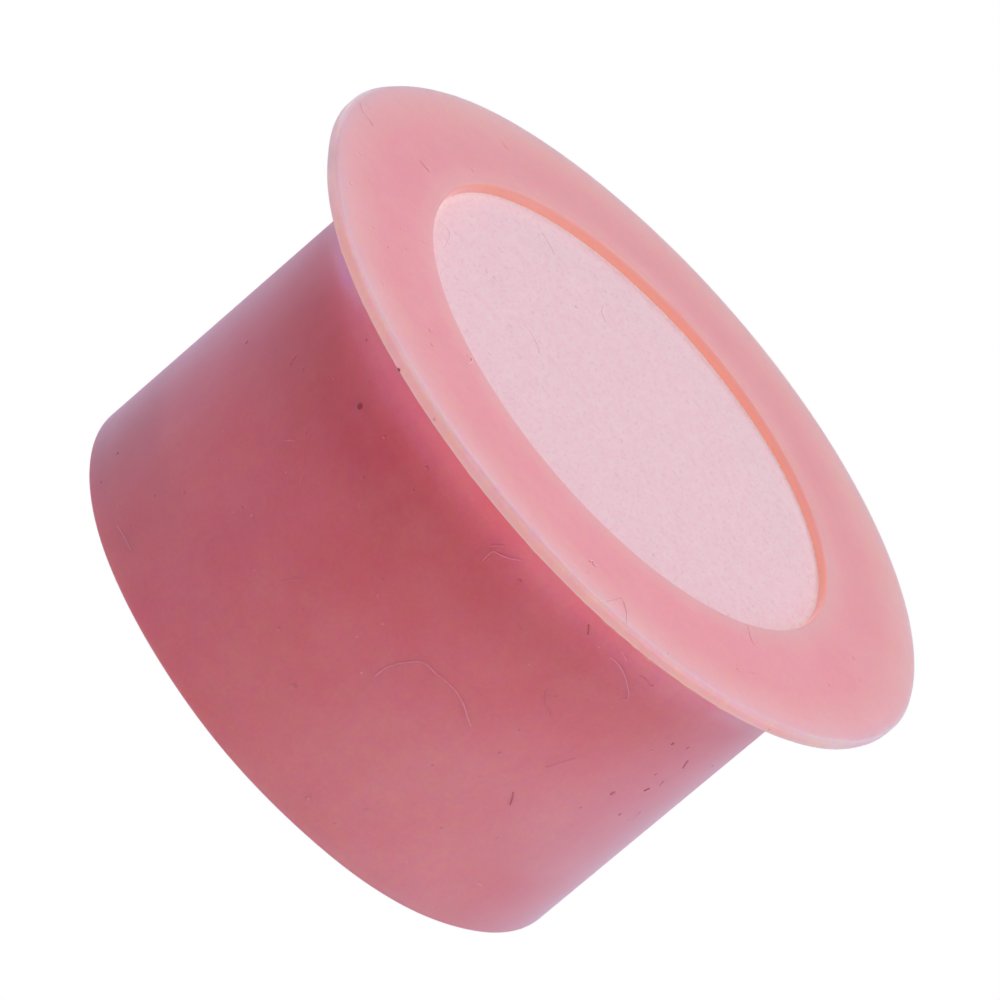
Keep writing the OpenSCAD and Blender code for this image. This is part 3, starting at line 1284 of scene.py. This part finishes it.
def dust_material(effects, name, shade):
    """Dust or lint on the silicone: the silicone's tone there, with its painted light and shade,
    made darker or paler.
    """
    material, wiring, shader, place = new_material(name)
    ring = wiring.group(effects["ring_place"], Place=place)
    colour = wiring.tint(1.0, silicone_colour(wiring, ring), (*shade, 1.0))
    wiring.put(shader.inputs["Emission Color"], silicone_glow(wiring, ring))
    shader.inputs["Emission Strength"].default_value = min(shade[0], 1.0)
    dust_finish(effects, wiring, shader, place, colour)
    return material


def disc_dust_material(effects, name, shade):
    """Dust or lint on the disc, a little darker or paler than it."""
    material, wiring, shader, place = new_material(name)
    patches = wiring.noise(place, 0.5 * MM, 2.0)
    colour = wiring.mix(wiring.span(patches, 0.35, 0.65), DISC_PINK, DISC_EDGE)
    colour = wiring.tint(1.0, colour, (*shade, 1.0))
    dust_finish(effects, wiring, shader, place, colour)
    return material


def make_dust_materials(effects):
    """All the kinds of dust and lint, by name."""
    kinds = {}
    for name, shade in SILICONE_DUST.items():
        kinds[name] = dust_material(effects, name, shade)
    for name, shade in DISC_DUST.items():
        kinds[name] = disc_dust_material(effects, name, shade)
    return kinds


# ---------------------------------------------------------------- studio

# How bright the backdrop and the floor look, how much light each gives, and the floor's own tone
BACKDROP_SEEN = 1.1
BACKDROP_LIGHT = 0.0
FLOOR_SEEN = 1.0
FLOOR_LIGHT = 0.53
FLOOR_TONE = 0.10
FLOOR_Z = -0.07 * MM

# Softboxes: name, watts, metres across, and degrees round and up
SOFTBOXES = [
    ("overhead_softbox", 0.81, 0.50, 0, 90),
    ("front_right_softbox", 0.63, 0.35, -45, 45),
    ("right_softbox", 0.76, 0.35, 0, 45),
    ("back_softbox", 1.51, 0.35, 90, 45),
    ("back_left_softbox", 0.30, 0.35, 135, 45),
    ("left_softbox", 0.09, 0.35, 180, 45),
    ("front_left_softbox", 0.30, 0.35, -135, 45),
    ("front_low_softbox", 0.69, 0.30, -90, 12),
    ("front_right_low_softbox", 0.16, 0.30, -45, 12),
    ("right_low_softbox", 0.36, 0.30, 0, 12),
    ("back_left_low_softbox", 0.31, 0.30, 135, 12),
]
SOFTBOX_AWAY = 0.6
SOFTBOX_AIM = Vector((0, 0, 0.012))

# The camera: millimetres, then degrees
CAMERA_PLACE = (-0.506, -332.399, 142.743)
CAMERA_LENS = 353.84
CAMERA_SENSOR = 36
CAMERA_TILT = 21.852
CAMERA_ROLL = 49.567


def seen_or_lit(tree, seen_strength, lit_strength):
    """A white that is seen_strength to the camera, and lit_strength as a light."""
    path = tree.nodes.new("ShaderNodeLightPath")
    strength = tree.nodes.new("ShaderNodeMapRange")
    strength.inputs["To Min"].default_value = lit_strength
    strength.inputs["To Max"].default_value = seen_strength
    tree.links.new(path.outputs["Is Camera Ray"], strength.inputs["Value"])
    return strength.outputs[0]


def make_world():
    """The pale backdrop."""
    world = bpy.data.worlds.new("studio")
    bpy.context.scene.world = world
    world.use_nodes = True
    tree = world.node_tree
    background = tree.nodes["Background"]
    background.inputs["Color"].default_value = (1, 1, 1, 1)
    strength = seen_or_lit(tree, BACKDROP_SEEN, BACKDROP_LIGHT)
    tree.links.new(strength, background.inputs["Strength"])


def floor_material():
    """A pale floor that throws light up on the stopper and shows no shadow."""
    material = bpy.data.materials.new("pale_floor")
    material.use_nodes = True
    tree = material.node_tree
    shader = tree.nodes["Principled BSDF"]
    tree.links.new(seen_or_lit(tree, 0.0, FLOOR_TONE), shader.inputs["Base Color"])
    shader.inputs["Roughness"].default_value = 1
    shader.inputs["Specular IOR Level"].default_value = 0
    shader.inputs["Emission Color"].default_value = (1, 1, 1, 1)
    glow = seen_or_lit(tree, FLOOR_SEEN, FLOOR_LIGHT)
    tree.links.new(glow, shader.inputs["Emission Strength"])
    return material


def make_floor():
    """The floor, just under the stopper's lowest point."""
    deselect_all()
    bpy.ops.mesh.primitive_circle_add(
        vertices=64, radius=4, fill_type="NGON", location=(0, 0, FLOOR_Z))
    floor = bpy.context.active_object
    floor.name = "floor"
    bpy.ops.object.transform_apply(location=True, rotation=True, scale=True)
    floor.data.materials.append(floor_material())


def add_softbox(name, power, size, azimuth, elevation):
    """A square soft light, turned towards the stopper."""
    turn = math.radians(azimuth)
    rise = math.radians(elevation)
    level = math.cos(rise)
    away = Vector((math.cos(turn) * level, math.sin(turn) * level, math.sin(rise)))
    light = bpy.data.lights.new(name, "AREA")
    light.shape = "SQUARE"
    light.size = size
    light.energy = power
    lamp = bpy.data.objects.new(name, light)
    bpy.context.scene.collection.objects.link(lamp)
    lamp.location = away * SOFTBOX_AWAY
    aim = SOFTBOX_AIM - lamp.location
    lamp.rotation_euler = aim.to_track_quat("-Z", "Y").to_euler()


def make_camera():
    """The camera, above the stopper's front and turned about its own line of sight."""
    data = bpy.data.cameras.new("camera")
    data.sensor_width = CAMERA_SENSOR
    data.lens = CAMERA_LENS
    data.clip_start = 0.01
    data.clip_end = 20
    camera = bpy.data.objects.new("camera", data)
    bpy.context.scene.collection.objects.link(camera)
    tilt = Matrix.Rotation(math.pi / 2 - math.radians(CAMERA_TILT), 4, "X")
    roll = Matrix.Rotation(math.radians(CAMERA_ROLL), 4, "Z")
    camera.matrix_world = Matrix.Translation(Vector(CAMERA_PLACE) * MM) @ (tilt @ roll)
    bpy.context.scene.camera = camera


# ---------------------------------------------------------------- the scene

# Lint on the moulding: name, where it lies, its paths, millimetres thick, and kind
MOULDING_LINT = [
    ("pale_side_lint", on_side, PALE_SIDE_FIBRES, 0.050, "pale_lint"),
    ("bright_side_lint", on_side, BRIGHT_SIDE_FIBRES, 0.045, "bright_lint"),
    ("dark_side_lint", on_side, DARK_SIDE_FIBRES, 0.045, "faint_dust"),
    ("faint_side_lint", on_side, FAINT_SIDE_FIBRES, 0.040, "faint_lint"),
    ("soft_side_dash", on_side, SOFT_SIDE_DASHES, 0.065, "soft_dust"),
    ("dark_side_dashes", on_side, DARK_SIDE_DASHES, 0.060, "dark_dust"),
    ("face_lint", on_top, FACE_FIBRES, 0.035, "face_lint"),
    ("thick_face_lint", on_top, THICK_FACE_FIBRES, 0.065, "thick_lint"),
]

# Specks on the moulding: name, where they lie, their places, millimetres across, seed and kind
MOULDING_SPECKS = [
    ("small_dark_specks", on_side, SMALL_DARK_SPECKS, 0.13, 1, "faint_dust"),
    ("dark_specks", on_side, DARK_SPECKS, 0.16, 2, "dark_dust"),
    ("dark_rim_speck", on_rim, DARK_RIM_SPECK, 0.13, 10, "rim_dust"),
    ("smudge", on_side, SMUDGE, 0.30, 3, "smudge"),
    ("soft_specks", on_side, SOFT_SPECKS, 0.20, 9, "soft_dust"),
    ("pale_specks", on_side, PALE_SPECKS, 0.11, 4, "pale_dust"),
    ("pale_face_specks", on_top, PALE_FACE_SPECKS, 0.13, 7, "bright_lint"),
    ("face_specks", on_top, FACE_SPECKS, 0.13, 5, "face_dust"),
    ("rim_specks", on_rim, RIM_SPECKS, 0.11, 8, "soft_dust"),
]


def fit(piece, material, slot, *nodes):
    """Gives a piece its material, hangs it on the root, and hides the model's parts that it takes
    the place of; the slot is not used.
    """
    piece.data.materials.append(material)
    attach(piece, "root")
    if nodes:
        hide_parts(*nodes)


def fit_fibres(name, ground, paths, thickness, material, slot):
    """Lays lint on the ground, which is the moulding or the disc."""
    fit(make_fibres(name, ground, paths, thickness * MM), material, slot)


def fit_specks(name, ground, places, size, seed, material, slot):
    """Lays specks on the ground, which is the moulding or the disc."""
    fit(make_specks_piece(name, ground, places, size * MM, seed), material, slot)


def lay_dust(moulding, disc, kinds):
    """All the lint and specks, on the moulding and on the disc."""
    for name, lying, paths, thickness, kind in MOULDING_LINT:
        places = [lying(path) for path in paths]
        fit_fibres(name, moulding, places, thickness, kinds[kind], "silicone")
    places = [on_top(path) for path in DISC_FIBRES]
    fit_fibres("disc_lint", disc, places, 0.035, kinds["disc_lint"], "disc")
    for name, lying, marks, size, seed, kind in MOULDING_SPECKS:
        fit_specks(name, moulding, lying(marks), size, seed, kinds[kind], "silicone")
    fit_specks("disc_specks", disc, on_top(DISC_SPECKS), 0.16, 6, kinds["disc_dust"], "disc")


def make_stopper():
    """The moulding and its disc, with the dust that lies on them."""
    effects = make_effects()
    moulding = make_moulding()
    disc = make_disc()
    fit(moulding, silicone_material(effects), "silicone", "stopper")
    fit(disc, disc_material(effects), "disc", "vent_disc")
    lay_dust(moulding, disc, make_dust_materials(effects))


bpy.context.scene.view_settings.view_transform = "Standard"
make_camera()
make_world()
make_floor()
for softbox in SOFTBOXES:
    add_softbox(*softbox)
make_stopper()
